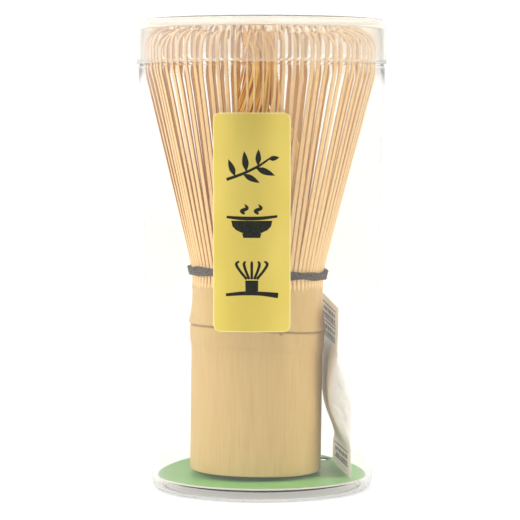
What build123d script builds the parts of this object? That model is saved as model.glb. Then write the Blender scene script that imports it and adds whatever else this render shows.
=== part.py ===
from build123d import *
import os
from math import sin, radians

# Bamboo tea whisk, packed upright in its clear push-lid case.
# Millimetres, +Z up, -Y to the front (the labelled side), +X to the right.
# The origin is the centre of the case's underside.

# ---- clear case: a drafted tube with a recessed neck, and a push-on lid ----
tube_foot_radius = 27.74      # outside, at the underside
tube_shoulder_radius = 30.9   # outside, just under the lid
tube_wall = 0.6
tube_floor_top = 3.0          # the floor is raised inside a hollow foot ring
tube_floor = 0.8
foot_ring_radius = 24.3       # inside of the ring that the case stands on
foot_ring_draft = 0.6
tube_foot_rounding = 2.4
shoulder_height = 105.6
neck_start_height = 106.1
neck_radius = 30.55           # outside
neck_wall = 0.5
mouth_height = 114.9

lid_height = 117.2            # top of the lid
lid_radius = 31.25            # outside of the skirt
lid_lip_radius = 31.5         # small turned-out lip along the skirt's lower edge
lid_lip_height = 0.6
lid_wall = 0.5
lid_plate = 0.5
lid_corner = 1.1
lid_seat_gap = 0.1            # between the skirt and the shoulder

# ---- paper label on the tube, and the card on its floor ----
label_width = 18.5
label_bottom = 41.6
label_top = 94.0
label_shift = -2.4            # centre line, along X
label_corner = 1.7
label_paper = 0.1
label_glue = 0.02

card_radius = 26.2
card_thickness = 0.4
card_hole_place = (16.0, 16.9)
card_hole_radius = 1.3

# ---- whisk, in its own frame: base centre at its origin ----
whisk_base_shift = -1.65      # base centre, along X
whisk_lean = 0.75             # degrees, head towards +X, standing on its right edge
whisk_foot_gap = 0.05

handle_radius = 16.45
node_radius = 17.15
node_height = 37.0
handle_height = 48.0          # solid culm ends and the splints begin
base_bore_radius = 12.5       # hollow of the culm below the node
head_bore_radius = 13.4       # hollow of the culm above the node
diaphragm_bottom = 34.5
diaphragm_top = 37.5
base_edge_chamfer = 0.3

splints = 16
prongs_per_splint = 5
splint_gap_degrees = 0.4
splint_root_height = 0.6
root_overlap = 0.3            # how far a prong reaches down into its splint's root

outer_root_radii = (15.4, 16.4)
outer_prong_thickness = 0.7
outer_prong_root_width = 1.08
outer_prong_tip_width = 0.7
inner_root_radii = (13.6, 14.7)
inner_prong_thickness = 0.5
inner_prong_root_width = 0.92
inner_prong_tip_width = 0.22
whisk_height = 110.0

thread_radius = 0.4
thread_clearance = 0.06
thread_heights = {"lower": 49.9, "middle": 50.75, "upper": 51.6}
flare_start = 49.6            # outer prongs leave the culm's line

# ---- desiccant sachet: leans on the node, its foot on the card ----
sachet_width = 25.0
sachet_turn = 8.0             # degrees about Z, front edge towards +X
sachet_film = 0.25
sachet_foot_height = 3.5
sachet_top_height = 48.4
bead_radius = 1.2
bead_pitch = 2.7
bead_rows = (14.0, 31.0)      # lowest and highest row of beads

card_top = tube_floor_top + card_thickness
splint_step = 360.0 / splints
prong_step = splint_step / prongs_per_splint

# Centre line of an outer prong in the (radius, height) plane, with a rounding for each
# inner corner: up from the root, out along the flare, up again, over the hook and down.
outer_path = [
    (16.0, handle_height + root_overlap),
    (16.0, flare_start),
    (28.85, 102.1),
    (28.85, whisk_height - outer_prong_thickness / 2),
    (23.6, whisk_height - outer_prong_thickness / 2),
    (23.6, 106.3),
]
outer_roundings = [8.0, 14.0, 3.2, 1.9]

# Centre line of an inner prong: it closes in towards the axis.
inner_path = [
    (14.1, handle_height + root_overlap),
    (14.1, handle_height + 3.5),
    (11.4, 74.0),
    (8.6, 87.0),
    (5.6, 97.0),
    (5.2, 109.0),
]
inner_roundings = [25.0, 25.0, 12.0, 12.0]

# Sachet section in the (x, z) plane before it is turned: handle side, then wall side.
sachet_handle_side = [
    (17.05, sachet_top_height), (16.95, 44.0), (16.8, 37.0), (15.8, 30.0), (15.9, 24.0), (16.5, 20.0),
    (17.5, 15.5), (19.0, 11.5), (20.1, 9.0), (20.25, sachet_foot_height),
]
sachet_wall_side = [
    (17.65, sachet_top_height), (17.6, 44.0), (17.8, 37.0), (20.4, 30.0), (21.7, 24.0), (22.3, 20.0),
    (22.7, 15.5), (22.2, 11.5), (20.9, 9.0), (20.75, sachet_foot_height),
]


def save(name, shape):
    """Write one node as parts/NAME.step."""
    shape.label = name
    export_step(shape, f"parts/{name}.step")


def spun(points, roundings=None):
    """Turn a closed (radius, height) outline about Z, with optional corner roundings."""
    if roundings is None:
        outline = Polyline(*points, close=True)
    else:
        outline = FilletPolyline(*points, radius=roundings, close=True)
    return revolve(Plane.XZ * make_face(outline), axis=Axis.Z)


def tube_radius(height):
    """Outside radius of the drafted tube wall."""
    share = height / shoulder_height
    return tube_foot_radius + (tube_shoulder_radius - tube_foot_radius) * share


def case_tube():
    """Clear tube with a raised floor in a hollow foot ring, a shoulder and a recessed neck."""
    inner_shoulder = tube_shoulder_radius - tube_wall
    neck_inside = neck_radius - neck_wall
    floor_radius = foot_ring_radius - foot_ring_draft
    points = [
        (0, tube_floor_top - tube_floor),
        (floor_radius, tube_floor_top - tube_floor),
        (foot_ring_radius, 0),
        (tube_foot_radius, 0),
        (tube_shoulder_radius, shoulder_height),
        (neck_radius, neck_start_height),
        (neck_radius, mouth_height),
        (neck_inside, mouth_height),
        (neck_inside, neck_start_height - tube_wall),
        (inner_shoulder, shoulder_height - 2 * tube_wall),
        (tube_radius(tube_wall) - tube_wall, tube_wall),
        (foot_ring_radius + tube_wall, tube_wall),
        (floor_radius + tube_wall, tube_floor_top),
        (0, tube_floor_top),
    ]
    inner_rounding = tube_foot_rounding - tube_wall
    roundings = [0, 0, 0, tube_foot_rounding, 0, 0, 0, 0, 0, 0, inner_rounding, 0, 0, 0]
    return spun(points, roundings)


def case_lid():
    """Push-on lid: flat plate, skirt outside the neck, turned-out lip."""
    skirt_bottom = neck_start_height + lid_seat_gap
    inside = lid_radius - lid_wall
    plate_under = lid_height - lid_plate
    points = [
        (0, plate_under),
        (inside, plate_under),
        (inside, skirt_bottom),
        (lid_lip_radius, skirt_bottom),
        (lid_lip_radius, skirt_bottom + lid_lip_height),
        (lid_radius, skirt_bottom + 2 * lid_lip_height),
        (lid_radius, lid_height),
        (0, lid_height),
    ]
    roundings = [0, lid_corner - lid_wall, 0, 0, 0, 0, lid_corner, 0]
    return spun(points, roundings)


def case_label():
    """Rounded paper label that hugs the front of the tube."""
    inside = [tube_radius(height) + label_glue for height in (label_bottom - 1, label_top + 1)]
    sleeve = spun([
        (inside[0], label_bottom - 1),
        (inside[0] + label_paper, label_bottom - 1),
        (inside[1] + label_paper, label_top + 1),
        (inside[1], label_top + 1),
    ])
    height = label_top - label_bottom
    outline = RectangleRounded(label_width, height, label_corner)
    facing = Plane((label_shift, 0, (label_bottom + label_top) / 2), x_dir=(1, 0, 0), z_dir=(0, -1, 0))
    return sleeve & extrude(facing * outline, amount=2 * tube_shoulder_radius)


def base_card():
    """Card disc on the raised floor, with one small punched hole near its back edge."""
    disc = Circle(card_radius) - Pos(*card_hole_place) * Circle(card_hole_radius)
    return Pos(0, 0, tube_floor_top) * extrude(disc, amount=card_thickness)


def placed_whisk(shape):
    """Stand a piece of the whisk on its right base edge, leaning by whisk_lean."""
    edge = whisk_base_shift + handle_radius
    stand = Pos(edge, 0, card_top + whisk_foot_gap) * Rot(0, whisk_lean, 0) * Pos(-handle_radius, 0, 0)
    return stand * shape


def handle():
    """Culm handle: hollow below the node, diaphragm at the node, hollow head above it."""
    points = [
        (base_bore_radius, 0),
        (handle_radius, 0),
        (handle_radius, node_height - 6.0),
        (node_radius, node_height - 0.8),
        (node_radius, node_height + 0.6),
        (handle_radius, node_height + 5.0),
        (handle_radius, handle_height),
        (head_bore_radius, handle_height),
        (head_bore_radius, diaphragm_top),
        (0, diaphragm_top),
        (0, diaphragm_bottom),
        (base_bore_radius, diaphragm_bottom),
    ]
    roundings = [0, base_edge_chamfer, 12.0, 1.0, 1.0, 8.0, 0, 0, 0, 0, 0, 1.0]
    return spun(points, roundings)


def prong(path, roundings, thickness, root_width, tip_width):
    """One split prong: its side profile, narrowed from root to tip as seen from outside."""
    centre_line = FilletPolyline(*path, radius=roundings)
    side = Plane.XZ * trace(centre_line, thickness)
    slab = extrude(side, amount=root_width, both=True)
    low, high = path[0][1] - thickness, whisk_height + thickness
    front = Polyline(
        (-root_width / 2, low), (root_width / 2, low),
        (tip_width / 2, high), (-tip_width / 2, high),
        close=True,
    )
    wedge = extrude(Plane.YZ * make_face(front), amount=2 * node_radius)
    return (slab & wedge).solid()


def splint_root(radii):
    """The short unsplit foot of a splint: a sector of the culm wall on top of the handle."""
    low, high = handle_height, handle_height + splint_root_height
    outline = Polyline((radii[0], low), (radii[1], low), (radii[1], high), (radii[0], high), close=True)
    span = splint_step - splint_gap_degrees
    sector = revolve(Plane.XZ * make_face(outline), axis=Axis.Z, revolution_arc=span)
    return Rot(0, 0, -span / 2) * sector


def splint(one_prong, radii):
    """A splint of the culm, split into its prongs above a short root."""
    first = -prong_step * (prongs_per_splint - 1) / 2
    piece = splint_root(radii)
    for index in range(prongs_per_splint):
        piece += Rot(0, 0, first + index * prong_step) * one_prong
    return piece.solid()


def outer_prong_face(height):
    """Outside radius of the outer prongs on their flare."""
    (low_radius, low), (high_radius, high) = outer_path[1], outer_path[2]
    share = (height - low) / (high - low)
    return low_radius + (high_radius - low_radius) * share + outer_prong_thickness / 2


def thread_round(height):
    """One round of the lacing thread, drawn tight around the outer prongs."""
    ring_radius = outer_prong_face(height) + thread_clearance + thread_radius
    return Pos(0, 0, height) * Torus(ring_radius, thread_radius)


def sachet_section(inset=0.0):
    """Section face of the sachet, or of its hollow when inset by the film's thickness."""
    handle_side = [(x + inset, z) for x, z in sachet_handle_side]
    wall_side = [(x - inset, z) for x, z in sachet_wall_side]
    if inset:
        handle_side, wall_side = handle_side[2:-2], wall_side[2:-2]
    left, right = Spline(*handle_side), Spline(*wall_side)
    outline = [left, right, Line(handle_side[0], wall_side[0]), Line(handle_side[-1], wall_side[-1])]
    return Plane.XZ * make_face(outline)


def sachet_envelope():
    """Pillow-shaped paper envelope, closed all round, with flat welds above and below."""
    outside = extrude(sachet_section(), amount=sachet_width / 2, both=True)
    hollow_width = sachet_width / 2 - 4 * sachet_film
    hollow = extrude(sachet_section(sachet_film), amount=hollow_width, both=True)
    return Rot(0, 0, sachet_turn) * (outside - hollow)


def sachet_middle(height):
    """Middle of the sachet's section at a height, between its two sides."""
    rows = list(zip(sachet_handle_side, sachet_wall_side))
    for (upper_left, upper_right), (lower_left, lower_right) in zip(rows, rows[1:]):
        if lower_left[1] <= height <= upper_left[1]:
            share = (height - lower_left[1]) / (upper_left[1] - lower_left[1])
            upper, lower = upper_left[0] + upper_right[0], lower_left[0] + lower_right[0]
            return (lower + (upper - lower) * share) / 2
    raise ValueError("height is outside the sachet")


def sachet_beads():
    """Silica gel beads, in one layer of rows inside the envelope."""
    low, high = bead_rows
    row_count = int((high - low) / bead_pitch) + 1
    bead_count = int((sachet_width - 4 * bead_radius) / bead_pitch)
    beads = []
    for row in range(row_count):
        height = low + row * bead_pitch
        for index in range(bead_count):
            across = (index - (bead_count - 1) / 2) * bead_pitch
            beads.append(Pos(sachet_middle(height), across, height) * Sphere(bead_radius))
    return Rot(0, 0, sachet_turn) * Compound(beads)


os.makedirs("parts", exist_ok=True)

save("case_tube", case_tube())
save("case_lid", case_lid())
save("case_label", case_label())
save("base_card", base_card())
save("handle", placed_whisk(handle()))

outer_prong = prong(
    outer_path, outer_roundings, outer_prong_thickness, outer_prong_root_width, outer_prong_tip_width
)
inner_prong = prong(
    inner_path, inner_roundings, inner_prong_thickness, inner_prong_root_width, inner_prong_tip_width
)
outer_splint = splint(outer_prong, outer_root_radii)
inner_splint = splint(inner_prong, inner_root_radii)
for number in range(1, splints + 1):
    turn = Rot(0, 0, number * splint_step)
    save(f"outer_prongs_{number:02d}", placed_whisk(turn * outer_splint))
    save(f"inner_prongs_{number:02d}", placed_whisk(turn * inner_splint))
for place, height in thread_heights.items():
    save(f"thread_{place}_round", placed_whisk(thread_round(height)))

save("sachet_envelope", sachet_envelope())
save("sachet_beads", sachet_beads())
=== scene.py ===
import random
from math import ceil, cos, exp, hypot, pi, radians, sin, sqrt

import bmesh
import bpy
import numpy as np
from mathutils import Euler, Matrix, Vector, noise
from mathutils.geometry import delaunay_2d_cdt


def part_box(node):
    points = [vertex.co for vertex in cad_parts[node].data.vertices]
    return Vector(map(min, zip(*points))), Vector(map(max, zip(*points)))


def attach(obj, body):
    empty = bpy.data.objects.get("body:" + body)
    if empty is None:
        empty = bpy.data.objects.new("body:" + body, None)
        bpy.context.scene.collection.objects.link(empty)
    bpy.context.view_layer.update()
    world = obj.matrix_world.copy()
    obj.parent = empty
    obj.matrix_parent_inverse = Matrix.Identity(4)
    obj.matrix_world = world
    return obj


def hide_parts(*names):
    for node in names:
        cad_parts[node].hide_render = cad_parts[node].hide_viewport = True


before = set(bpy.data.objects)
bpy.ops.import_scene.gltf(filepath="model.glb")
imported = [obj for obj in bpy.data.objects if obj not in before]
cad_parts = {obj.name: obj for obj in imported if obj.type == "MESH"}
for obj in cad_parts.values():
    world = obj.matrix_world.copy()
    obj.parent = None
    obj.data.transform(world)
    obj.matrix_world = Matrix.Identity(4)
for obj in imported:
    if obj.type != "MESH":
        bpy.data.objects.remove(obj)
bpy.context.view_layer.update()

MM = 0.001
TURN = 2 * pi
rng = random.Random(20)
scene = bpy.context.scene


def box_mm(node):
    """Lowest and highest corner of a CAD node, in millimetres."""
    low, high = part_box(node)
    return low / MM, high / MM


# ---- places and sizes read from the frame ----
tube_high = box_mm("case_tube")[1]
lid_low, lid_high = box_mm("case_lid")
card_low, card_high = box_mm("base_card")
label_low, label_high = box_mm("case_label")
handle_low, handle_high = box_mm("handle")
sachet_low, sachet_high = box_mm("sachet_envelope")

# ---- clear case ----
TUBE_SIDES = 192
TUBE_FOOT_RADIUS = 27.74
TUBE_SHOULDER_RADIUS = tube_high.x
TUBE_SHOULDER_HEIGHT = lid_low.z - 0.6
TUBE_WALL = 0.6
TUBE_FLOOR = 0.8
FOOT_RING_RADIUS = 24.3
FOOT_ROUNDING = 2.4
NECK_RADIUS = 30.55
NECK_WALL = 0.5
LID_RADIUS = 31.25
LID_LIP_RADIUS = lid_high.x
LID_WALL = 0.5
LID_PLATE = 0.5
LID_CORNER = 1.1

# ---- whisk ----
WHISK_LEAN = radians(0.75)
HANDLE_RADIUS = 16.45
BASE_BORE_RADIUS = 12.5
HEAD_BORE_RADIUS = 13.4
DIAPHRAGM = (34.5, 37.5)
NODE_HEIGHT = 36.8
CULM_TOP = 48.0
CULM_FOOT = 0.95              # the culm stands on the raised back of the card
WHISK_HEIGHT = 110.0
SPLINTS = 16
PRONGS_PER_SPLINT = 5
PRONGS = SPLINTS * PRONGS_PER_SPLINT
HEAD_RADIUS = 28.85
SLIT_LENGTH = 1.3             # each prong's pale root fades to a point in the culm's skin
SLIT_RADIUS = 15.96
FRONT = 1.5 * pi
CULM_SIDES = 256
BUD_ANGLE = 5.07              # radians; the bud scar sits on the node, right of the front
BUD_RADIUS = 0.7
ROOT_RADIUS = 15.95           # middle of the outer prongs at the culm
SKIN_RADIUS = 16.3            # the culm's skin, where the prongs are split apart
ROOT_DROP = 0.15              # prongs start this far down in the culm
ROOT_DEPTH = 0.98


# ---- mesh helpers ----
def closed_mesh(name, points, faces):
    """A mesh from points in Blender units, its faces all turned outwards."""
    mesh = bpy.data.meshes.new(name)
    mesh.from_pydata(np.asarray(points, float).tolist(), [], faces)
    bm = bmesh.new()
    bm.from_mesh(mesh)
    bmesh.ops.recalc_face_normals(bm, faces=bm.faces)
    bm.to_mesh(mesh)
    bm.free()
    return mesh


def piece(name, verts, faces, material, body, stands_for=(), sharp=35.0, attributes=None):
    """A mesh object from millimetre points, riding on a body and finished like a slot."""
    mesh = closed_mesh(name, np.asarray(verts, float) * MM, faces)
    for key, values in (attributes or {}).items():
        layer = mesh.attributes.new(key, "FLOAT", "POINT")
        layer.data.foreach_set("value", np.asarray(values, np.float32))
    mesh.polygons.foreach_set("use_smooth", [True] * len(mesh.polygons))
    mesh.set_sharp_from_angle(angle=radians(sharp))
    mesh.materials.append(material)
    obj = bpy.data.objects.new(name, mesh)
    scene.collection.objects.link(obj)
    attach(obj, body)
    if stands_for:
        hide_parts(*stands_for)
    return obj


def arc(centre, radius, start, end, steps):
    """Points of an arc in a plane, angles in degrees, both ends included."""
    angles = [radians(start + (end - start) * i / steps) for i in range(steps + 1)]
    return [(centre[0] + radius * cos(a), centre[1] + radius * sin(a)) for a in angles]


def turned(outline, sides):
    """A closed (radius, height) outline turned about Z; points on the axis become poles."""
    verts, rings = [], []
    for radius, height in outline:
        if radius < 1e-6:
            rings.append([len(verts)] * sides)
            verts.append((0.0, 0.0, height))
            continue
        rings.append(list(range(len(verts), len(verts) + sides)))
        angles = [TURN * i / sides for i in range(sides)]
        verts += [(radius * cos(a), radius * sin(a), height) for a in angles]
    faces = []
    for lower, upper in zip(rings, rings[1:] + rings[:1]):
        for i in range(sides):
            j = (i + 1) % sides
            loop = [lower[i], lower[j], upper[j], upper[i]]
            unique = list(dict.fromkeys(loop))
            if len(unique) > 2:
                faces.append(unique)
    return verts, faces


def walk(start, legs, step=0.5):
    """Points of a plane line: each leg is (length, turn in degrees), heading up at first."""
    (across, up), angle = start, 0.0
    points = [(across, up)]
    for length, turn in legs:
        steps = max(1, ceil(length / step), ceil(abs(turn) / 9))
        for _ in range(steps):
            angle += radians(turn) / steps / 2
            across += length / steps * sin(angle)
            up += length / steps * cos(angle)
            angle += radians(turn) / steps / 2
            points.append((across, up))
    return points


def smooth_between(keys, at):
    """Catmull-Rom value at a place, through (place, value) keys."""
    places = [k[0] for k in keys]
    at = min(max(at, places[0]), places[-1])
    i = min(max(0, sum(1 for p in places if p <= at) - 1), len(keys) - 2)
    p0, p1 = places[i], places[i + 1]
    v0, v1 = keys[i][1], keys[i + 1][1]
    before, after = keys[max(0, i - 1)], keys[min(len(keys) - 1, i + 2)]
    slope0 = (v1 - before[1]) / (p1 - before[0])
    slope1 = (after[1] - v0) / (after[0] - p0)
    span, t = p1 - p0, (at - p0) / (p1 - p0)
    return (
        (2 * t**3 - 3 * t**2 + 1) * v0 + (t**3 - 2 * t**2 + t) * span * slope0
        + (-2 * t**3 + 3 * t**2) * v1 + (t**3 - t**2) * span * slope1
    )


SECTION_POINTS = 8
# Points run: back, two on the right side, two on the outer face, two on the left side, back.
# Painted shade and highlight: each prong's right side and back are painted darker and its left edge paler, as
# if lit from the left.
SECTION_PAINTED_SHADE = (0.4, 0.9, 1.0, 0.0, 0.0, 0.0, 0.4, 0.4)       # darker on the right side and the back
SECTION_PAINTED_HIGHLIGHT = (0.0, 0.0, 0.0, 0.1, 0.2, 0.7, 0.2, 0.0)       # paler on the left edge
SECTION_BEVEL = 0.22          # share of the thinner side cut off each corner


def strip(points, sides, widths, depths):
    """A bar of bevelled rectangular section along 3-D points; sides are its unit width directions."""
    points = [Vector(p) for p in points]
    verts, faces = [], []
    for i, point in enumerate(points):
        ahead = points[min(i + 1, len(points) - 1)] - points[max(i - 1, 0)]
        side = sides[i]
        inward = ahead.cross(side).normalized()
        side = inward.cross(ahead).normalized() * (1 if side.dot(inward.cross(ahead)) > 0 else -1)
        half_width, half_depth = widths[i] / 2, depths[i] / 2
        cut = SECTION_BEVEL * min(half_width, half_depth) * 2
        section = [
            (half_width - cut, half_depth), (half_width, half_depth - cut),
            (half_width, -half_depth + cut), (half_width - cut, -half_depth),
            (-half_width + cut, -half_depth), (-half_width, -half_depth + cut),
            (-half_width, half_depth - cut), (-half_width + cut, half_depth),
        ]
        verts += [point + side * a + inward * b for a, b in section]
    count = SECTION_POINTS
    for ring in range(len(points) - 1):
        for i in range(count):
            a, b = ring * count + i, ring * count + (i + 1) % count
            faces.append([a, b, b + count, a + count])
    faces.append(list(range(count))[::-1])
    faces.append([(len(points) - 1) * count + i for i in range(count)])
    return verts, faces


def cable(points, radius, sides):
    """A round strand along 3-D points, its end joined to its start."""
    points = [Vector(p) for p in points]
    total = len(points)
    turns = [TURN * k / sides for k in range(sides)]
    verts, faces = [], []
    for i, point in enumerate(points):
        ahead = points[(i + 1) % total] - points[i - 1]
        ahead.normalize()
        side = ahead.cross(Vector((0, 0, 1))).normalized()
        over = side.cross(ahead)
        verts += [point + (side * cos(turn) + over * sin(turn)) * radius for turn in turns]
        following = (i + 1) % total
        for k in range(sides):
            m = (k + 1) % sides
            faces.append([i * sides + k, i * sides + m, following * sides + m, following * sides + k])
    return verts, faces


def sheet_faces(rows, columns):
    """Faces of a thin sheet: two equal grids of points, one after the other, closed at the rim."""
    stride, layer = columns + 1, (rows + 1) * (columns + 1)
    faces = []
    for row in range(rows):
        for column in range(columns):
            a = row * stride + column
            faces.append([a, a + 1, a + stride + 1, a + stride])
            faces.append([layer + a, layer + a + stride, layer + a + stride + 1, layer + a + 1])
    rim = list(range(columns)) + [columns + r * stride for r in range(rows)]
    rim += [rows * stride + i for i in range(columns, 0, -1)] + [r * stride for r in range(rows, 0, -1)]
    return faces + [[a, b, b + layer, a + layer] for a, b in zip(rim, rim[1:] + rim[:1])]


def joined(parts):
    """Several (verts, faces) lists as one."""
    verts, faces = [], []
    for more_verts, more_faces in parts:
        faces += [[index + len(verts) for index in face] for face in more_faces]
        verts += list(more_verts)
    return verts, faces


# ---- shader helpers ----
class Paint:
    """A node material with short calls for the nodes used here."""

    def __init__(self, name):
        self.material = bpy.data.materials.new(name)
        self.material.use_nodes = True
        self.tree = self.material.node_tree
        self.tree.nodes.clear()
        self.out = self.tree.nodes.new("ShaderNodeOutputMaterial")
        self.shader = self.tree.nodes.new("ShaderNodeBsdfPrincipled")
        self.link(self.shader.outputs[0], self.out.inputs["Surface"])

    def link(self, source, target):
        self.tree.links.new(source, target)

    def set(self, **values):
        """Fixed values on the shader's own sockets; underscores stand for spaces."""
        for key, value in values.items():
            self.shader.inputs[key.replace("_", " ")].default_value = value

    def feed(self, socket, source):
        self.link(source, self.shader.inputs[socket])

    def place(self, scale=(1.0, 1.0, 1.0)):
        """Object coordinates in millimetres, stretched by scale."""
        coordinates = self.tree.nodes.new("ShaderNodeTexCoord")
        mapping = self.tree.nodes.new("ShaderNodeMapping")
        mapping.inputs["Scale"].default_value = [s / MM for s in scale]
        self.link(coordinates.outputs["Object"], mapping.inputs["Vector"])
        return mapping.outputs["Vector"]

    def noise(self, vector, scale, detail=3.0, roughness=0.5, distortion=0.0):
        node = self.tree.nodes.new("ShaderNodeTexNoise")
        node.inputs["Scale"].default_value = scale
        node.inputs["Detail"].default_value = detail
        node.inputs["Roughness"].default_value = roughness
        node.inputs["Distortion"].default_value = distortion
        self.link(vector, node.inputs["Vector"])
        return node.outputs["Fac"]

    def attribute(self, name):
        node = self.tree.nodes.new("ShaderNodeAttribute")
        node.attribute_name = name
        return node.outputs["Fac"]

    def ramp(self, source, stops):
        """Colour ramp from (position, (r, g, b)) stops."""
        node = self.tree.nodes.new("ShaderNodeValToRGB")
        elements = node.color_ramp.elements
        while len(elements) < len(stops):
            elements.new(0.5)
        for element, (position, colour) in zip(elements, stops):
            element.position = position
            element.color = (*colour, 1.0)
        self.link(source, node.inputs["Fac"])
        return node.outputs["Color"]

    def rescale(self, source, low, high, to_low=0.0, to_high=1.0):
        node = self.tree.nodes.new("ShaderNodeMapRange")
        for key, value in (("From Min", low), ("From Max", high), ("To Min", to_low), ("To Max", to_high)):
            node.inputs[key].default_value = value
        self.link(source, node.inputs["Value"])
        return node.outputs["Result"]

    def mix(self, factor, first, second, blend="MIX"):
        node = self.tree.nodes.new("ShaderNodeMix")
        node.data_type = "RGBA"
        node.blend_type = blend
        sockets = [s for s in node.inputs if s.enabled]
        for socket, value in zip(sockets, (factor, first, second)):
            if isinstance(value, (int, float)):
                socket.default_value = value
            elif isinstance(value, tuple):
                socket.default_value = (*value, 1.0)
            else:
                self.link(value, socket)
        return [s for s in node.outputs if s.enabled][0]

    def bump(self, height, distance, strength=1.0):
        node = self.tree.nodes.new("ShaderNodeBump")
        node.inputs["Strength"].default_value = strength
        node.inputs["Distance"].default_value = distance * MM
        self.link(height, node.inputs["Height"])
        self.feed("Normal", node.outputs["Normal"])


def bamboo(name, pale, deep, fibre, shade, streak_length):
    """Bamboo: fibres along Z, slow colour drift, and from the mesh a random tone with painted shade, a
    painted edge highlight, and the scar.
    """
    paint = Paint(name)
    fine = paint.noise(paint.place((1.0, 1.0, 1.0 / streak_length)), 3.2, 4.0, 0.6)
    broad = paint.noise(paint.place((0.16, 0.16, 0.03)), 1.0, 2.0)
    colour = paint.ramp(broad, [(0.30, pale), (0.70, deep)])
    colour = paint.mix(paint.rescale(fine, 0.42, 0.70, 0.0, 0.55), colour, fibre)
    # tint holds random tone and painted shade; shade is the colour of that painted shade.
    colour = paint.mix(paint.attribute("tint"), colour, shade, "MULTIPLY")
    specks = paint.noise(paint.place((0.42, 0.42, 0.60)), 1.0, 1.0)
    colour = paint.mix(paint.rescale(specks, 0.76, 0.84, 0.0, 0.6), colour, (0.36, 0.22, 0.10))
    # edge is a painted highlight: pale cream on the prongs' left edges.
    colour = paint.mix(paint.attribute("edge"), colour, (1.0, 0.89, 0.60))
    colour = paint.mix(paint.attribute("scar"), colour, (0.26, 0.135, 0.05))
    paint.feed("Base Color", colour)
    paint.feed("Roughness", paint.rescale(fine, 0.3, 0.7, 0.38, 0.56))
    paint.set(IOR=1.5, Specular_IOR_Level=0.35)
    paint.bump(fine, 0.03, 0.6)
    return paint.material


def clear_plastic(name, roughness, tint, clarity, foot_painted_shade):
    """Thin clear plastic with a faint haze, and painted shade at its foot."""
    paint = Paint(name)
    paint.set(Transmission_Weight=clarity, IOR=1.4)
    split = paint.tree.nodes.new("ShaderNodeSeparateXYZ")
    paint.link(paint.place(), split.inputs[0])
    # From 3.2 mm down to 2.4 mm the base colour fades to the foot colour: painted shade standing in for the
    # dark refraction lines at the foot.
    paint.feed("Base Color", paint.mix(paint.rescale(split.outputs["Z"], 2.4, 3.2), foot_painted_shade, tint))
    ripple = paint.noise(paint.place((0.05, 0.05, 0.02)), 1.0, 2.0)
    paint.feed("Roughness", paint.rescale(ripple, 0.3, 0.7, roughness * 0.6, roughness))
    return paint.material


def gold_paper():
    """Satin gold label stock with a fine brushed grain."""
    paint = Paint("gold_label_paper")
    grain = paint.noise(paint.place((2.0, 2.0, 0.4)), 2.0, 3.0)
    cloud = paint.noise(paint.place((0.08, 0.08, 0.05)), 1.0, 2.0)
    colour = paint.ramp(cloud, [(0.3, (0.635, 0.495, 0.11)), (0.7, (0.695, 0.555, 0.14))])
    paint.feed("Base Color", paint.mix(paint.attribute("rim"), colour, (0.92, 0.80, 0.40)))
    paint.feed("Roughness", paint.rescale(grain, 0.3, 0.7, 0.30, 0.40))
    paint.set(Metallic=0.88)
    paint.bump(grain, 0.01, 0.4)
    return paint.material


def ink_black():
    """Dull black printing ink."""
    paint = Paint("label_ink")
    speck = paint.noise(paint.place(), 2.0, 3.0)
    colour = paint.ramp(speck, [(0.35, (0.008, 0.009, 0.006)), (0.75, (0.022, 0.024, 0.017))])
    paint.feed("Base Color", colour)
    paint.feed("Roughness", paint.rescale(speck, 0.3, 0.7, 0.5, 0.7))
    paint.set(Specular_IOR_Level=0.15)
    return paint.material


def green_card():
    """Coated green card with faint paper fibres, a bare white back, and painted shade in its hole."""
    paint = Paint("green_card")
    fibres = paint.noise(paint.place(), 1.6, 4.0, 0.6)
    colour = paint.ramp(fibres, [(0.35, (0.25, 0.61, 0.19)), (0.70, (0.31, 0.69, 0.24))])
    geometry = paint.tree.nodes.new("ShaderNodeNewGeometry")
    split = paint.tree.nodes.new("ShaderNodeSeparateXYZ")
    paint.link(geometry.outputs["Normal"], split.inputs[0])
    colour = paint.mix(paint.rescale(split.outputs["Z"], 0.5, 0.9), (0.80, 0.79, 0.76), colour)
    # The hole's wall and a thin ring round it are painted near-black: painted shade in the hole.
    colour = paint.mix(paint.attribute("punched"), colour, (0.03, 0.045, 0.025))
    paint.feed("Base Color", colour)
    paint.feed("Roughness", paint.rescale(fibres, 0.3, 0.7, 0.42, 0.55))
    paint.bump(fibres, 0.015, 0.5)
    return paint.material


def cotton_thread():
    """Dark fluffy two-ply thread."""
    paint = Paint("lacing_thread")
    fluff = paint.noise(paint.place(), 6.0, 4.0, 0.65)
    colour = paint.ramp(fluff, [(0.3, (0.040, 0.033, 0.027)), (0.7, (0.145, 0.120, 0.095))])
    paint.feed("Base Color", colour)
    paint.feed("Roughness", paint.rescale(fluff, 0.3, 0.7, 0.75, 0.95))
    paint.set(Sheen_Weight=0.25, Sheen_Roughness=0.5)
    paint.bump(fluff, 0.05, 0.8)
    return paint.material


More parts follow.
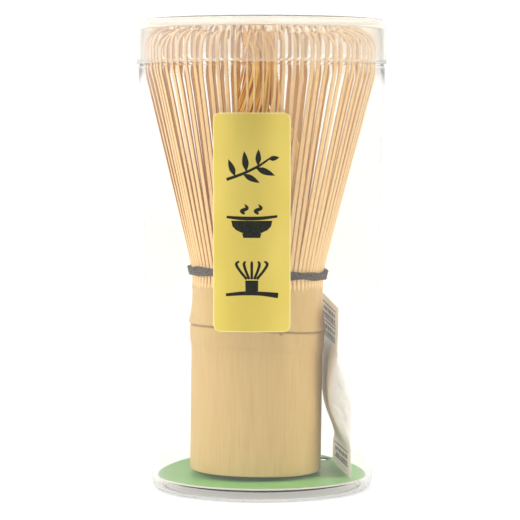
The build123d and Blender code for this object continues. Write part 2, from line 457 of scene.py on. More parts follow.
def sachet_paper():
    """Soft white nonwoven paper with long fibres, ribbed where it is welded."""
    paint = Paint("sachet_paper")
    place = paint.place((1.0, 1.0, 0.5))
    fibres = paint.noise(place, 2.2, 5.0, 0.65, 0.8)
    weld = paint.attribute("weld")
    colour = paint.ramp(fibres, [(0.3, (0.93, 0.91, 0.87)), (0.7, (0.98, 0.97, 0.94))])
    colour = paint.mix(weld, colour, (1.0, 0.93, 0.86), "MULTIPLY")
    paint.feed("Base Color", colour)
    paint.feed("Roughness", paint.rescale(fibres, 0.3, 0.7, 0.62, 0.8))
    paint.set(Subsurface_Weight=0.5, Subsurface_Scale=0.0025, Subsurface_Radius=(1.0, 0.95, 0.88))
    ribs = paint.tree.nodes.new("ShaderNodeTexWave")
    ribs.bands_direction = "Z"
    ribs.inputs["Scale"].default_value = 0.55
    paint.link(paint.place(), ribs.inputs["Vector"])
    relief = paint.mix(weld, fibres, ribs.outputs["Fac"])
    paint.bump(relief, 0.05, 0.7)
    return paint.material


def grey_print():
    """Faint grey printing ink."""
    paint = Paint("grey_print")
    speck = paint.noise(paint.place(), 1.5, 3.0)
    paint.feed("Base Color", paint.ramp(speck, [(0.35, (0.10, 0.095, 0.09)), (0.75, (0.24, 0.23, 0.21))]))
    paint.feed("Roughness", paint.rescale(speck, 0.3, 0.7, 0.6, 0.8))
    return paint.material


def pale_floor():
    """Backlit white table."""
    paint = Paint("studio_floor")
    cloud = paint.noise(paint.place((0.004, 0.004, 0.004)), 1.0, 2.0)
    paint.feed("Base Color", paint.ramp(cloud, [(0.3, (0.48, 0.48, 0.48)), (0.7, (0.50, 0.50, 0.50))]))
    paint.set(Roughness=0.9, Specular_IOR_Level=0.0)
    paint.set(Emission_Color=(1.0, 1.0, 1.0, 1.0), Emission_Strength=0.55)
    paint.material.cycles.emission_sampling = "NONE"
    return paint.material


# ---- studio ----
def camera():
    """The photograph's view: from just below the label's top, looking slightly down."""
    data = bpy.data.cameras.new("camera")
    data.sensor_width = 36.0
    data.lens = 159.1
    data.clip_start, data.clip_end = 0.02, 20.0
    obj = bpy.data.objects.new("camera", data)
    obj.location = Vector((-0.43, -576.7, 90.8)) * MM
    obj.rotation_euler = Euler((radians(90 - 3.334), 0, 0))
    scene.collection.objects.link(obj)
    scene.camera = obj


def studio_world():
    """Soft white surround: brighter on the left, dark behind the camera except overhead."""
    world = bpy.data.worlds.new("studio")
    scene.world = world
    world.use_nodes = True
    world.cycles.sampling_method = "NONE"
    tree = world.node_tree
    background = tree.nodes["Background"]
    coordinates = tree.nodes.new("ShaderNodeTexCoord")

    def towards(direction, low, high, to_low, to_high):
        """Strength by how far a direction lies along a unit vector."""
        dot = tree.nodes.new("ShaderNodeVectorMath")
        dot.operation = "DOT_PRODUCT"
        dot.inputs[1].default_value = Vector(direction).normalized()
        tree.links.new(coordinates.outputs["Generated"], dot.inputs[0])
        node = tree.nodes.new("ShaderNodeMapRange")
        node.interpolation_type = "SMOOTHSTEP"
        for key, value in (("From Min", low), ("From Max", high), ("To Min", to_low), ("To Max", to_high)):
            node.inputs[key].default_value = value
        tree.links.new(dot.outputs["Value"], node.inputs["Value"])
        return node.outputs["Result"]

    room = towards((-0.20, -1.0, 0.04), 0.88, 0.99, 1.16, 0.0)
    ceiling = towards((0.0, 0.0, 1.0), 0.15, 0.34, 0.0, 1.04)
    left = towards((1.0, 0.0, 0.0), -0.9, 0.3, 1.20, 1.0)

    def combined(operation, first, second):
        node = tree.nodes.new("ShaderNodeMath")
        node.operation = operation
        tree.links.new(first, node.inputs[0])
        tree.links.new(second, node.inputs[1])
        return node.outputs[0]

    around = combined("MULTIPLY", combined("MAXIMUM", room, ceiling), left)
    tree.links.new(around, background.inputs["Strength"])
    background.inputs["Color"].default_value = (1.0, 0.995, 0.985, 1.0)


def softbox(name, place, aim, size, power):
    """A rectangular area lamp, places and sizes in millimetres, unseen in reflections and through plastic."""
    data = bpy.data.lights.new(name, "AREA")
    data.shape = "RECTANGLE"
    data.size, data.size_y = size[0] * MM, size[1] * MM
    data.energy = power
    obj = bpy.data.objects.new(name, data)
    obj.location = Vector(place) * MM
    obj.rotation_euler = (Vector(aim) - Vector(place)).to_track_quat("-Z", "Y").to_euler()
    obj.visible_glossy = obj.visible_transmission = False
    scene.collection.objects.link(obj)


def floor():
    """A wide white table under the case."""
    half = 1500.0
    verts = [(-half, -half, 0), (half, -half, 0), (half, half, 0), (-half, half, 0)]
    mesh = bpy.data.meshes.new("floor")
    mesh.from_pydata((np.asarray(verts) * MM).tolist(), [], [[0, 1, 2, 3]])
    mesh.materials.append(pale_floor())
    obj = bpy.data.objects.new("floor", mesh)
    scene.collection.objects.link(obj)


# ---- clear case ----
def tube_radius(height):
    """Outside radius of the drafted tube wall."""
    return TUBE_FOOT_RADIUS + (TUBE_SHOULDER_RADIUS - TUBE_FOOT_RADIUS) * height / TUBE_SHOULDER_HEIGHT


def build_tube(material):
    """Tube with a raised floor in a hollow foot ring, a shoulder, and a neck rounded at its mouth."""
    foot = tube_radius(FOOT_ROUNDING)
    mouth, floor_top = tube_high.z, card_low.z
    inner_neck = NECK_RADIUS - NECK_WALL
    middle_neck = NECK_RADIUS - NECK_WALL / 2
    inside_foot = FOOT_ROUNDING - TUBE_WALL
    under, ring = floor_top - TUBE_FLOOR, FOOT_RING_RADIUS
    outline = [(0, under), (ring - 1.1, under), (ring - 0.7, under - 0.15), (ring - 0.5, under - 0.5)]
    outline += [(ring - 0.1, 0.35), (ring + 0.05, 0.1), (ring + 0.35, 0)]
    outline += arc((foot - FOOT_ROUNDING, FOOT_ROUNDING), FOOT_ROUNDING, -90, 0, 10)
    rise = [FOOT_ROUNDING + (TUBE_SHOULDER_HEIGHT - 0.4 - FOOT_ROUNDING) * i / 24 for i in range(1, 25)]
    outline += [(tube_radius(z), z) for z in rise]
    outline += arc((TUBE_SHOULDER_RADIUS - 0.25, TUBE_SHOULDER_HEIGHT - 0.25), 0.25, 0, 80, 4)
    outline += [(NECK_RADIUS + 0.08, TUBE_SHOULDER_HEIGHT + 0.2), (NECK_RADIUS, TUBE_SHOULDER_HEIGHT + 0.45)]
    outline += arc((middle_neck, mouth - NECK_WALL / 2), NECK_WALL / 2, 0, 180, 8)
    outline += [(inner_neck, TUBE_SHOULDER_HEIGHT - 0.1), (inner_neck + 0.1, TUBE_SHOULDER_HEIGHT - 0.7)]
    outline += [(tube_radius(z) - TUBE_WALL, z) for z in reversed(rise[:-1])]
    centre = (foot - TUBE_WALL - inside_foot, TUBE_WALL + inside_foot)
    outline += arc(centre, inside_foot, 0, -90, 8)
    outline += [(ring + 1.0, TUBE_WALL), (ring + 0.7, TUBE_WALL + 0.15), (ring + 0.5, TUBE_WALL + 0.5)]
    outline += [(ring + 0.15, floor_top - 0.5), (ring, floor_top - 0.15), (ring - 0.35, floor_top)]
    outline += [(0, floor_top)]
    verts, faces = turned(outline, TUBE_SIDES)
    obj = piece("clear_tube", verts, faces, material, "case", ["case_tube"])
    obj.visible_shadow = False


def build_lid(material):
    """Push-on lid with rounded corner and a turned-out lip."""
    bottom, top = lid_low.z, lid_high.z
    inside = LID_RADIUS - LID_WALL
    corner = LID_CORNER - LID_WALL
    outline = [(0, top - LID_PLATE)]
    outline += arc((inside - corner, top - LID_PLATE - corner), corner, 90, 0, 8)
    outline += [(inside, bottom + 1.0), (inside + 0.05, bottom + 0.15)]
    outline += arc((LID_LIP_RADIUS - 0.2, bottom + 0.2), 0.2, -90, 60, 6)
    outline += [(LID_RADIUS + 0.06, bottom + 0.75), (LID_RADIUS, bottom + 1.2)]
    outline += arc((LID_RADIUS - LID_CORNER, top - LID_CORNER), LID_CORNER, 0, 90, 10)
    outline += [(6.0, top), (5.7, top - 0.1), (5.3, top - 0.1), (5.0, top), (0, top)]
    verts, faces = turned(outline, TUBE_SIDES)
    obj = piece("clear_lid", verts, faces, material, "lid", ["case_lid"])
    obj.visible_shadow = False


# ---- whisk ----
def whisk_stand():
    """The whisk's own frame in the shared frame: on its right base edge, leaning by WHISK_LEAN."""
    axis_at_node = (handle_low.x + handle_high.x) / 2
    base_centre = axis_at_node - sin(WHISK_LEAN) * NODE_HEIGHT
    edge = Matrix.Translation((base_centre + HANDLE_RADIUS, 0, handle_low.z))
    return edge @ Matrix.Rotation(WHISK_LEAN, 4, "Y") @ Matrix.Translation((-HANDLE_RADIUS, 0, 0))


def stood(verts):
    """Points of the whisk's own frame in the shared frame."""
    stand = whisk_stand()
    return [stand @ Vector(v) for v in verts]


def node_line(angle):
    """Height of the node's scar round the culm: higher at the left than at the right."""
    return NODE_HEIGHT - 0.8 * cos(angle) - 0.45 * sin(angle) + 0.12 * sin(3 * angle + 1.0)


def culm_radius(height, angle):
    """Outside radius of the culm, with its node's swelling, groove and lip."""
    above = height - node_line(angle)
    swell = smooth_between(
        [(-14, 0.0), (-6.2, 0.02), (-5.2, 0.10), (-4.4, 0.30), (-2.4, 0.38), (-0.8, 0.46), (-0.35, 0.28),
         (-0.1, 0.18), (0.15, 0.62), (0.6, 0.72), (1.6, 0.52), (4.0, 0.14), (7.0, -0.05), (14, -0.08)],
        above,
    )
    oval = 0.06 * cos(2 * angle + 0.6) + 0.04 * cos(3 * angle)
    return HANDLE_RADIUS + swell + oval * (1 - min(1, max(0, height / CULM_TOP)) ** 4)


def build_handle(material):
    """Culm handle: outer wall with the node, sawn base, hollow and diaphragm."""
    sides = CULM_SIDES
    near_node = [NODE_HEIGHT + 0.1 * i for i in range(-28, 29)]
    near_node += [NODE_HEIGHT - 3 - 0.25 * i for i in range(16)]
    heights = sorted(set([CULM_FOOT + 0.25] + [1.0 * i for i in range(2, 48)] + near_node + [CULM_TOP]))
    verts, scars = [], []
    for height in heights:
        for i in range(sides):
            angle = TURN * i / sides
            radius = culm_radius(height, angle)
            verts.append((radius * cos(angle), radius * sin(angle), height))
            above = height - node_line(angle)
            ragged = 0.5 + 0.5 * noise.noise(Vector((cos(angle) * 6, sin(angle) * 6, height)))
            scar = max(0.0, 1 - abs(above + 0.15) / 0.45) ** 1.1 * (0.65 + 0.35 * ragged)
            bud = hypot((angle - BUD_ANGLE) * HANDLE_RADIUS, above + 0.5)
            scars.append(max(scar, 1 - bud / BUD_RADIUS))
    rings = len(heights)
    faces = []
    for ring in range(rings - 1):
        for i in range(sides):
            j = (i + 1) % sides
            faces.append([ring * sides + i, ring * sides + j, (ring + 1) * sides + j, (ring + 1) * sides + i])

    inside = [
        (HEAD_BORE_RADIUS, CULM_TOP), (HEAD_BORE_RADIUS - 0.3, DIAPHRAGM[1] + 2.5),
        (HEAD_BORE_RADIUS - 1.4, DIAPHRAGM[1] + 0.6), (8.0, DIAPHRAGM[1] - 0.2), (3.0, DIAPHRAGM[1] - 0.7),
        (0.01, DIAPHRAGM[1] - 0.8), (0.01, DIAPHRAGM[0] - 0.6), (3.0, DIAPHRAGM[0] - 0.5),
        (8.0, DIAPHRAGM[0] + 0.1), (BASE_BORE_RADIUS - 1.2, DIAPHRAGM[0] - 0.5),
        (BASE_BORE_RADIUS - 0.2, DIAPHRAGM[0] - 2.2), (BASE_BORE_RADIUS, DIAPHRAGM[0] - 6.0),
        (BASE_BORE_RADIUS, CULM_FOOT + 0.3), (BASE_BORE_RADIUS + 0.3, CULM_FOOT),
        (HANDLE_RADIUS - 0.25, CULM_FOOT),
    ]
    first = rings - 1
    for radius, height in inside:
        start = len(verts)
        for i in range(sides):
            angle = TURN * i / sides
            wobble = 1 + 0.012 * cos(2 * angle + 0.6) + 0.006 * sin(5 * angle)
            verts.append((radius * wobble * cos(angle), radius * wobble * sin(angle), height))
            # The hollow's inside and the sawn foot take a little of the scar's dark brown, so they are
            # darker.
            scars.append(0.12)
        for i in range(sides):
            j = (i + 1) % sides
            below = first * sides
            faces.append([below + i, below + j, start + j, start + i])
        first = start // sides
    below = first * sides
    for i in range(sides):
        j = (i + 1) % sides
        faces.append([below + i, below + j, j, i])
    piece(
        "bamboo_handle", stood(verts), faces, material, "whisk", ["handle"],
        attributes={"scar": scars, "tint": [0.0] * len(verts), "edge": [0.0] * len(verts)},
    )


def outer_prong(number):
    """One outer prong: flare, upright end and inward hook, uneven, and narrower in front."""
    angle = TURN * (number + 0.5) / PRONGS
    flare = rng.gauss(13.7, 0.25)
    hook, curl = rng.uniform(3.3, 4.9), rng.uniform(1.1, 1.7)
    top = WHISK_HEIGHT - abs(rng.gauss(0, 0.45))
    legs = [
        (1.6, 0), (2.4, flare), (50.0, 0), (4.0, -flare), (rng.uniform(1.5, 3.0), 0),
        (hook * pi / 2, -90), (curl * pi / 2, -90), (rng.uniform(0.8, 2.2), rng.uniform(-30, -5)),
    ]
    plane = walk((ROOT_RADIUS, CULM_TOP - ROOT_DROP), legs, 1.2)
    reach = max(p[1] for p in plane)
    widest = max(p[0] for p in plane)
    stretch = (top - 0.2 - CULM_TOP) / (reach - CULM_TOP)
    spread = (rng.uniform(HEAD_RADIUS - 0.5, HEAD_RADIUS + 0.1) - ROOT_RADIUS) / (widest - ROOT_RADIUS)
    drift, bow, yaw = rng.gauss(0, 0.22), rng.gauss(0, 0.16), rng.gauss(0, 0.30)
    points, sides, widths, depths = [], [], [], []
    run, previous = 0.0, plane[0]
    total = sum(hypot(b[0] - a[0], b[1] - a[1]) for a, b in zip(plane, plane[1:]))
    pitch = TURN * SKIN_RADIUS / PRONGS
    for across, up in plane:
        run += hypot(across - previous[0], up - previous[1])
        previous = (across, up)
        share = run / total
        free = max(0.0, (share - 0.08) / 0.92)
        radius = ROOT_RADIUS + (across - ROOT_RADIUS) * spread
        height = CULM_TOP + (up - CULM_TOP) * stretch
        aside = drift * free + bow * sin(pi * free)
        if share > 0.86:
            aside += yaw * (share - 0.86) / 0.14 * 1.6
        tangential = Vector((-sin(angle), cos(angle), 0))
        points.append(Vector((radius * cos(angle), radius * sin(angle), height)) + tangential * aside)
        sides.append(tangential)
        in_front = exp(-((angle - FRONT) / 0.24) ** 2) * min(1, free * 6)
        widths.append((1 - 0.5 * in_front) * smooth_between(
            [(0, pitch - 0.10), (0.02, pitch - 0.16), (0.07, 1.20), (0.16, 1.22), (0.45, 1.14), (0.85, 0.94),
             (0.95, 0.72), (1.0, 0.42)], share))
        depths.append(smooth_between(
            [(0, ROOT_DEPTH), (0.05, 0.92), (0.12, 0.70), (0.40, 0.56), (0.80, 0.42), (1.0, 0.20)], share))
    root = points[0].z
    slit = SLIT_LENGTH * rng.uniform(0.7, 1.1)
    for share in (0.25, 0.5, 0.75, 1.0):
        points.insert(0, Vector((SLIT_RADIUS * cos(angle), SLIT_RADIUS * sin(angle), root - slit * share)))
        sides.insert(0, sides[0])
        widths.insert(0, pitch * (1 - 0.9 * share))
        depths.insert(0, ROOT_DEPTH)
    return strip(points, sides, widths, depths)


def inner_prong(number):
    """One inner prong: closes in on the axis, then twists with its neighbours."""
    angle = TURN * number / PRONGS
    core = rng.uniform(0.45, 1.0)
    twist = rng.gauss(0.55, 0.12)
    back = rng.gauss(-0.9, 0.35)
    top = WHISK_HEIGHT - rng.uniform(0.6, 3.0)
    radii = [
        (CULM_TOP - ROOT_DROP, 14.1), (52, 13.9), (63, 12.8), (75, 11.3), (84, 9.4),
        (90, 6.3 * (0.45 + 0.55 * core) + 0.6), (96, 5.4 * core + 0.4), (103, 4.3 * core + 0.3),
        (107.5, 4.2 * core + 0.5), (WHISK_HEIGHT, 4.8 * core + 0.6),
    ]
    turns = [
        (CULM_TOP - ROOT_DROP, 0), (70, 0), (86, 0.12 * twist), (103, twist), (WHISK_HEIGHT, twist + back),
    ]
    count = 46
    points, sides, widths, depths = [], [], [], []
    for step in range(count + 1):
        share = step / count
        height = CULM_TOP - ROOT_DROP + (top - CULM_TOP + ROOT_DROP) * share
        radius = smooth_between(radii, height)
        turn = angle + smooth_between(turns, height)
        points.append(Vector((radius * cos(turn), radius * sin(turn), height)))
        sides.append(Vector((-sin(turn), cos(turn), 0)))
        widths.append(smooth_between([(0, 0.98), (0.1, 0.92), (0.4, 0.82), (0.7, 0.60), (1.0, 0.42)], share))
        depths.append(smooth_between([(0, 0.9), (0.1, 0.6), (0.4, 0.45), (1.0, 0.26)], share))
    return strip(points, sides, widths, depths)


def build_prongs(kind, make, material, split):
    """All splints of one kind; split scales the painted highlight on the prongs' left edges."""
    for splint in range(1, SPLINTS + 1):
        parts, tone_and_painted_shade, edges = [], [], []
        for k in range(PRONGS_PER_SPLINT):
            made = make(splint * PRONGS_PER_SPLINT + k - PRONGS_PER_SPLINT // 2)
            parts.append(made)
            tint = rng.uniform(0.0, 0.16)
            rings = len(made[0]) // SECTION_POINTS
            # Each prong's random tone plus the painted shade on its right side and back; edges hold the
            # painted highlight on its left edge.
            tone_and_painted_shade += [tint + darker for darker in SECTION_PAINTED_SHADE] * rings
            edges += [split * edge for edge in SECTION_PAINTED_HIGHLIGHT] * rings
        verts, faces = joined(parts)
        piece(
            f"{kind}_splint_{splint:02d}", stood(verts), faces, material, "whisk",
            [f"{kind}_prongs_{splint:02d}"],
            attributes={"tint": tone_and_painted_shade, "edge": edges, "scar": [0.0] * len(verts)},
        )


THREAD_HEIGHT = 50.05         # centre of the lowest round
THREAD_PITCH = 0.62
PLY_RADIUS = 0.23


def build_thread(material):
    """Three rounds of two-ply thread, rippling once per prong; every other round out of step."""
    steps = PRONGS * 16
    for index, place in enumerate(("lower", "middle", "upper")):
        centre_height = THREAD_HEIGHT + THREAD_PITCH * index
        face = 16.35 + 0.2442 * max(0, centre_height - 49.6)      # the flaring prongs' outside
        plies = []
        for ply in range(2):
            points = []
            for i in range(steps):
                angle = TURN * i / steps
                dip = 0.16 * cos(PRONGS * angle + pi * index)
                lift = -0.42 * cos(angle) + 0.2 * sin(5 * angle + 0.6 * index)
                lift += 0.12 * sin(13 * angle + 2 * index)
                twist = PRONGS * 1.25 * angle + pi * ply
                radius = face + 0.44 + dip + 0.2 * cos(twist)
                height = centre_height + lift + PLY_RADIUS * sin(twist)
                points.append((radius * cos(angle), radius * sin(angle), height))
            plies.append(cable(points, PLY_RADIUS, 7))
        verts, faces = joined(plies)
        piece(
            f"thread_round_{place}", stood(verts), faces, material, "whisk",
            [f"thread_{place}_round"], sharp=80,
        )


# ---- label ----
LABEL_CORNER = 1.7
label_centre_x = (label_low.x + label_high.x) / 2
label_half = (label_high.x - label_low.x) / 2


def on_label(across, height, lift):
    """A point of the label's surface: across its centre line, lifted off the tube."""
    radius = tube_radius(height) + 0.03 + lift
    x = label_centre_x + across
    return (x, -sqrt(radius * radius - x * x), height)


def build_label(material):
    """Thin label with rounded corners, bent round the tube."""
    bottom, top = label_low.z, label_high.z
    ends = [LABEL_CORNER * (1 - cos(radians(15 * i))) for i in range(7)]
    middle = [bottom + LABEL_CORNER + (top - bottom - 2 * LABEL_CORNER) * i / 30 for i in range(1, 30)]
    heights = [bottom + e for e in ends] + middle + [top - e for e in reversed(ends)]
    border = 0.3
    inner_columns = [border / label_half - 1 + (2 - 2 * border / label_half) * i / 22 for i in range(23)]
    places = [-1.0] + inner_columns + [1.0]
    verts, rims = [], []
    for lift in (0.0, 0.1):
        for height in heights:
            edge = min(height - bottom, top - height)
            cut = LABEL_CORNER - sqrt(max(0.0, LABEL_CORNER**2 - max(0.0, LABEL_CORNER - edge) ** 2))
            for place in places:
                verts.append(on_label((label_half - cut) * place, height, lift))
                rims.append(1.0 if abs(place) == 1.0 or edge < 0.1 else 0.0)
    faces = sheet_faces(len(heights) - 1, len(places) - 1)
    piece(
        "paper_label", verts, faces, material, "case", ["case_label"],
        sharp=50, attributes={"rim": rims},
    )


def brush_stroke(points, widths, steps=10):
    """Outline of a brush stroke: a smooth line through points, with a width at each."""
    xs = [(i, p[0]) for i, p in enumerate(points)]
    ys = [(i, p[1]) for i, p in enumerate(points)]
    ws = [(i, w) for i, w in enumerate(widths)]
    count = (len(points) - 1) * steps
    line = [(smooth_between(xs, i / steps), smooth_between(ys, i / steps)) for i in range(count + 1)]
    left, right = [], []
    for i, (x, y) in enumerate(line):
        x0, y0 = line[max(0, i - 1)]
        x1, y1 = line[min(count, i + 1)]
        length = hypot(x1 - x0, y1 - y0) or 1.0
        half = max(0.02, smooth_between(ws, i / steps)) / 2
        left.append((x - (y1 - y0) / length * half, y + (x1 - x0) / length * half))
        right.append((x + (y1 - y0) / length * half, y - (x1 - x0) / length * half))
    return left + right[::-1]


def leaf_outline(root, angle, length, width):
    """A slender pointed leaf."""
    a = radians(angle)
    points = [(root[0] + cos(a) * length * t, root[1] + sin(a) * length * t) for t in (0, 0.35, 0.7, 1.0)]
    return brush_stroke(points, (0.2, width, width * 0.75, 0.03))


def leaf_spray():
    """A leafy sprig: a rising stem with leaves on both sides."""
    shapes = [brush_stroke([(-6.0, -3.0), (-2.4, -1.7), (1.4, 0.1), (4.4, 2.1)], (0.75, 0.65, 0.6, 0.4))]
    for root, angle, length, width in (
        ((-4.0, -2.1), 112, 4.2, 1.35), ((-1.3, -1.0), 96, 4.8, 1.5), ((1.5, 0.4), 88, 3.8, 1.3),
        ((-2.0, -1.7), -28, 4.4, 1.35), ((1.0, -0.2), -22, 4.9, 1.5), ((4.0, 1.9), 8, 2.6, 1.15),
    ):
        shapes.append(leaf_outline(root, angle, length, width))
    return shapes


def tea_bowl():
    """A tea bowl on its foot, with two curls of steam."""
    bowl = [(-4.9, 0.3)] + [(-4.9 * cos(t), 0.3 - 3.2 * sin(t) ** 0.8) for t in (0.35, 0.7, 1.05, 1.3)]
    bowl += [(-x, y) for x, y in reversed(bowl)]
    foot = [(-2.3, -2.7), (-2.0, -3.8), (2.0, -3.8), (2.3, -2.7)]
    rim = brush_stroke([(-6.0, 1.15), (-2.0, 0.85), (2.2, 0.9), (6.1, 1.35)], (0.6, 0.9, 0.85, 0.6))
    steam = [
        brush_stroke([(x, 1.9), (x - 0.7, 2.6), (x + 0.6, 3.3), (x, 4.2)], (0.5, 0.85, 0.8, 0.2))
        for x in (-1.7, 1.6)
    ]
    return [bowl, foot, rim] + steam


def small_whisk():
    """A little whisk standing on its handle, over a ground stroke."""
    shapes = [[(-1.5, -3.0), (1.5, -3.0), (1.55, -0.4), (-1.55, -0.4)]]
    for side in (-1, -0.5, 0, 0.5, 1):
        line = [(1.2 * side, -0.1), (2.9 * side, 2.0), (3.7 * side, 3.5), (3.0 * side, 4.2)]
        shapes.append(brush_stroke(line, (0.62, 0.62, 0.66, 0.4)))
    ground = [(-6.2, -3.9), (-2.0, -3.5), (2.2, -3.55), (6.3, -4.0)]
    shapes.append(brush_stroke(ground, (0.7, 0.95, 1.0, 1.3)))
    return shapes


def build_motif(name, shapes, height, material):
    """Flat ink shapes, cut into narrow columns so that they follow the label's curve."""
    bm = bmesh.new()
    for shape in shapes:
        bm.faces.new([bm.verts.new((x, y, 0.0)) for x, y in shape])
    bmesh.ops.triangulate(bm, faces=bm.faces)
    for cut in range(-6, 7):
        geometry = bm.verts[:] + bm.edges[:] + bm.faces[:]
        bmesh.ops.bisect_plane(bm, geom=geometry, plane_co=(cut, 0, 0), plane_no=(1, 0, 0))
    front = [tuple(v.co) for v in bm.verts]
    index = {v: i for i, v in enumerate(bm.verts)}
    flat = [[index[v] for v in face.verts] for face in bm.faces]
    borders = [(index[e.verts[0]], index[e.verts[1]]) for e in bm.edges if len(e.link_faces) == 1]
    bm.free()
    verts = [on_label(x, height + y, lift) for lift in (0.13, 0.1) for x, y, _ in front]
    count = len(front)
    faces = flat + [[i + count for i in reversed(face)] for face in flat]
    faces += [[a, b, b + count, a + count] for a, b in borders]
    piece(name, verts, faces, material, "case", sharp=50)


# ---- card ----
CARD_RADIUS = card_high.x
CARD_HOLE = (16.0, 16.9)
CARD_HOLE_RADIUS = 1.3
CARD_SIDES = 160
HOLE_SIDES = 32
CARD_GRID = 1.25              # spacing of the points that let the card curl


def from_hole(x, y):
    """Distance from the middle of the card's punched hole."""
    return hypot(x - CARD_HOLE[0], y - CARD_HOLE[1])


def card_rise(y):
    """How far the card has curled up off the floor, towards its back."""
    return 2.3 * max(0.0, (y + 3.0) / (CARD_RADIUS + 3.0)) ** 2


def build_card(material):
    """Card disc with a punched hole, flat in front and curled up at the back."""
    loops, edges = [], []
    circles = (((0, 0), CARD_RADIUS, CARD_SIDES), (CARD_HOLE, CARD_HOLE_RADIUS, HOLE_SIDES))
    for centre, radius, sides in circles:
        first = len(loops)
        for i in range(sides):
            angle = TURN * i / sides
            loops.append(Vector((centre[0] + radius * cos(angle), centre[1] + radius * sin(angle))))
            edges.append((first + i, first + (i + 1) % sides))
    reach = int(CARD_RADIUS / CARD_GRID) + 1
    for row in range(-reach, reach + 1):
        for column in range(-reach, reach + 1):
            x, y = column * CARD_GRID, row * CARD_GRID
            if hypot(x, y) < CARD_RADIUS - 0.5 and from_hole(x, y) > CARD_HOLE_RADIUS + 0.4:
                loops.append(Vector((x, y)))
    flat, _, triangles, *_ = delaunay_2d_cdt(loops, edges, [], 0, 1e-5)
    solid = []
    for triangle in triangles:
        x, y = (sum(flat[i][axis] for i in triangle) / 3 for axis in (0, 1))
        if from_hole(x, y) > CARD_HOLE_RADIUS * 0.98:
            solid.append(list(triangle))
    sides = {}
    for a, b, c in solid:
        for pair in ((a, b), (b, c), (c, a)):
            sides[pair] = True
    count = len(flat)
    verts = [(x, y, level + card_rise(y)) for level in (card_high.z, card_low.z) for x, y in flat]
    faces = solid + [[i + count for i in reversed(face)] for face in solid]
    faces += [[b, a, a + count, b + count] for a, b in sides if (b, a) not in sides]
    # Marks the hole's rim, where the card's material paints shade in the hole.
    punched = [1.0 if from_hole(x, y) < CARD_HOLE_RADIUS * 1.05 else 0.0 for x, y, _ in verts]
    piece(
        "green_base_card", verts, faces, material, "case", ["base_card"],
        attributes={"punched": punched},
    )


# ---- sachet ----
SACHET_TURNS = [                # (height, degrees turned about Z)
    (3.5, 8.0), (10, 7.5), (16, 3.8), (30, 3.5), (37, 7.0), (40, 8.0), (48.4, 8.0),
]
SACHET_HALF_WIDTH = 12.4
TOP_WELD = 37.5               # lower edge of the upper weld
FOOT_WELD = 10.6              # upper edge of the lower weld
WELD_HALF_THICKNESS = 0.12


def sachet_point(across, off, height):
    """A point of the sachet in the shared frame: it leans on the culm, its foot towards the wall."""
    line = smooth_between(
        [(3.5, 20.5), (9, 20.5), (11.5, 20.6), (15.5, 20.1), (20, 19.4), (24, 18.8), (30, 18.1), (37, 17.3),
         (44, 17.3), (48.4, 17.35)], height
    )
    share = (height - sachet_low.z) / (sachet_high.z - sachet_low.z)
    drop = 0.1 * (SACHET_HALF_WIDTH - across) * share**2
    turn = radians(smooth_between(SACHET_TURNS, height))
    x, y = line + off, across
    x, y = x * cos(turn) - y * sin(turn), x * sin(turn) + y * cos(turn)
    return x, y, height - drop + card_rise(y) * max(0.0, 1 - share * 4)


def sachet_fill(height):
    """Greatest half thickness at a height: the gel has settled towards the foot."""
    return smooth_between(
        [(9.5, 0.0), (11.5, 1.4), (15.5, 2.5), (20, 2.9), (24, 2.9), (30, 2.5), (34, 1.8), (36.5, 0.9),
         (38, 0.3)], height
    )


def puffed(verts, faces, held):
    """The flat envelope blown up by the cloth solver, at twenty times its size."""
    size = 0.02
    mesh = closed_mesh("flat_envelope", np.asarray(verts) * size, faces)
    flat = bpy.data.objects.new("flat_envelope", mesh)
    scene.collection.objects.link(flat)
    group = flat.vertex_groups.new(name="welds")
    group.add([i for i, pinned in enumerate(held) if pinned], 1.0, "REPLACE")
    cloth = flat.modifiers.new("Cloth", "CLOTH")
    cloth.settings.quality = 6
    cloth.settings.vertex_group_mass = "welds"
    cloth.settings.shrink_min = -0.07
    cloth.settings.bending_stiffness = 0.05
    cloth.settings.use_pressure = True
    cloth.settings.uniform_pressure_force = 3.0
    cloth.settings.effector_weights.gravity = 0.0
    cloth.collision_settings.use_collision = False
    last_frame = 18
    cloth.point_cache.frame_end = last_frame
    for frame_number in range(1, last_frame + 1):
        scene.frame_set(frame_number)
    solved = flat.evaluated_get(bpy.context.evaluated_depsgraph_get()).to_mesh()
    points = [v.co / size for v in solved.vertices]
    scene.frame_set(1)
    bpy.data.objects.remove(flat)
    return points


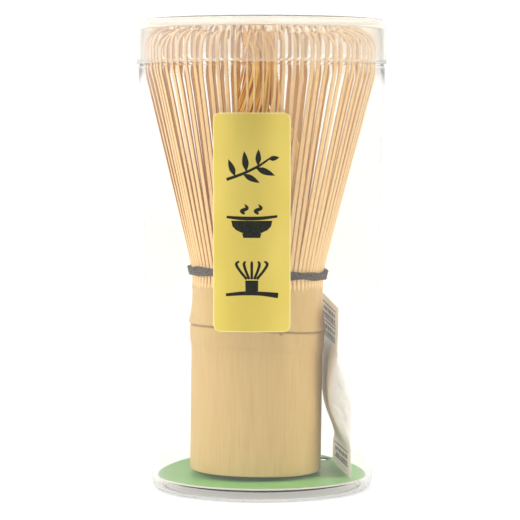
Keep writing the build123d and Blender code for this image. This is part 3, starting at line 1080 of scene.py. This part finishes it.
def build_sachet(material, ink):
    """Paper pillow between two welds: blown up by the cloth solver, then leant on the culm."""
    rows, columns = 88, 48
    low, high = sachet_low.z, sachet_high.z
    verts, held = [], []
    for face in (-1, 1):
        for row in range(rows + 1):
            height = low + (high - low) * row / rows
            for column in range(columns + 1):
                across = SACHET_HALF_WIDTH * (2 * column / columns - 1)
                verts.append((across, face * WELD_HALF_THICKNESS, height))
                held.append(height < FOOT_WELD or height > TOP_WELD)
    faces = sheet_faces(rows, columns)
    blown = puffed(verts, faces, held)
    widest = max(abs(p.y) for p in blown)
    placed, welds = [], []
    for point, pinned in zip(blown, held):
        off = point.y
        if not pinned:
            edge = WELD_HALF_THICKNESS * (1 if off > 0 else -1)
            off = edge + (off - edge) * sachet_fill(point.z) / widest
        placed.append(sachet_point(point.x, off, point.z))
        welds.append(1.0 if pinned else 0.0)
    obj = piece(
        "desiccant_sachet", placed, faces, material, "sachet", ["sachet_envelope"],
        sharp=70, attributes={"weld": welds},
    )
    smooth = obj.modifiers.new("smooth", "SUBSURF")
    smooth.levels = smooth.render_levels = 1

    bars = []
    for low_row, row_pitch, row_count in ((43.2, 1.55, 2), (38.6, 1.55, 2), (6.2, 1.5, 2)):
        top_row = low_row + row_pitch * row_count
        for height in (low_row - 0.5, top_row + 0.15):
            bars.append(sachet_bar(-9.5, 9.5, height, 0.3))
        for row in range(row_count):
            at = -8.6
            while at < 7.8:
                length = rng.uniform(0.9, 2.6)
                bars.append(sachet_bar(at, min(at + length, 8.6), low_row + row * row_pitch, 1.0))
                at += length + rng.uniform(0.6, 1.2)
    verts, faces = joined(bars)
    piece("sachet_print", verts, faces, ink, "sachet", sharp=50)


def sachet_bar(start, end, height, tall):
    """One printed dash on the handle side of a weld."""
    verts = []
    for lift in (0.02, 0.05):
        for a, h in ((start, height), (end, height), (end, height + tall), (start, height + tall)):
            verts.append(sachet_point(a, -(WELD_HALF_THICKNESS + lift), h))
    faces = [[0, 1, 2, 3], [7, 6, 5, 4]] + [[i, (i + 1) % 4, (i + 1) % 4 + 4, i + 4] for i in range(4)]
    return verts, faces


def build_beads(material):
    """One layer of gel beads inside the envelope, following its lean."""
    radius, pitch = 1.15, 2.6
    beads = []
    for row in range(8):
        height = 14.2 + 2.35 * row
        for column in range(-3 + row % 2, 4):
            across = (column - 0.5 * (row % 2)) * pitch
            centre = Vector(sachet_point(across, rng.uniform(-0.25, 0.25), height))
            rings = [(radius * sin(pi * i / 8), radius * cos(pi * i / 8)) for i in range(8, -1, -1)]
            verts, faces = turned(rings, 14)
            beads.append(([centre + Vector(v) for v in verts], faces))
    verts, faces = joined(beads)
    piece("silica_beads", verts, faces, material, "sachet", ["sachet_beads"])


def bead_gel():
    """Pale cloudy silica gel."""
    paint = Paint("silica_gel")
    cloud = paint.noise(paint.place(), 1.0, 2.0)
    paint.feed("Base Color", paint.ramp(cloud, [(0.3, (0.75, 0.77, 0.78)), (0.7, (0.88, 0.89, 0.90))]))
    paint.feed("Roughness", paint.rescale(cloud, 0.3, 0.7, 0.15, 0.3))
    return paint.material


# ---- build ----
camera()
studio_world()
softbox("left_softbox", (-420, -160, 240), (0, 0, 60), (300, 420), 1.35)
softbox("right_softbox", (420, -120, 220), (0, 0, 60), (260, 380), 1.0)
floor()

build_tube(clear_plastic("clear_tube_plastic", 0.03, (0.985, 0.957, 0.918), 0.985, (0.86, 0.855, 0.82)))
build_lid(clear_plastic("clear_lid_plastic", 0.04, (0.99, 0.955, 0.885), 0.90, (0.99, 0.955, 0.885)))
build_label(gold_paper())
ink = ink_black()
for name, shapes, height in (
    ("motif_leaves", leaf_spray(), 81.1), ("motif_bowl", tea_bowl(), 68.0),
    ("motif_whisk", small_whisk(), 54.4),
):
    build_motif(name, shapes, height, ink)

culm = bamboo("culm_bamboo", (0.69, 0.495, 0.21), (0.64, 0.445, 0.17), (0.55, 0.36, 0.13),
              (0.68, 0.53, 0.36), 30.0)
outer_bamboo = bamboo("outer_prong_bamboo", (1.0, 0.69, 0.32), (0.98, 0.63, 0.26), (0.76, 0.45, 0.17),
                      (0.47, 0.28, 0.10), 20.0)
inner_bamboo = bamboo("inner_prong_bamboo", (1.0, 0.72, 0.23), (1.0, 0.64, 0.15), (0.82, 0.46, 0.09),
                      (0.86, 0.58, 0.26), 20.0)
build_handle(culm)
build_prongs("outer", outer_prong, outer_bamboo, 1.0)
build_prongs("inner", inner_prong, inner_bamboo, 0.25)
build_thread(cotton_thread())
build_sachet(sachet_paper(), grey_print())
build_card(green_card())
build_beads(bead_gel())

scene.view_settings.view_transform = "Standard"
scene.cycles.max_bounces = 24
scene.cycles.transmission_bounces = 24
scene.cycles.transparent_max_bounces = 16
scene.cycles.caustics_refractive = True
scene.cycles.caustics_reflective = True
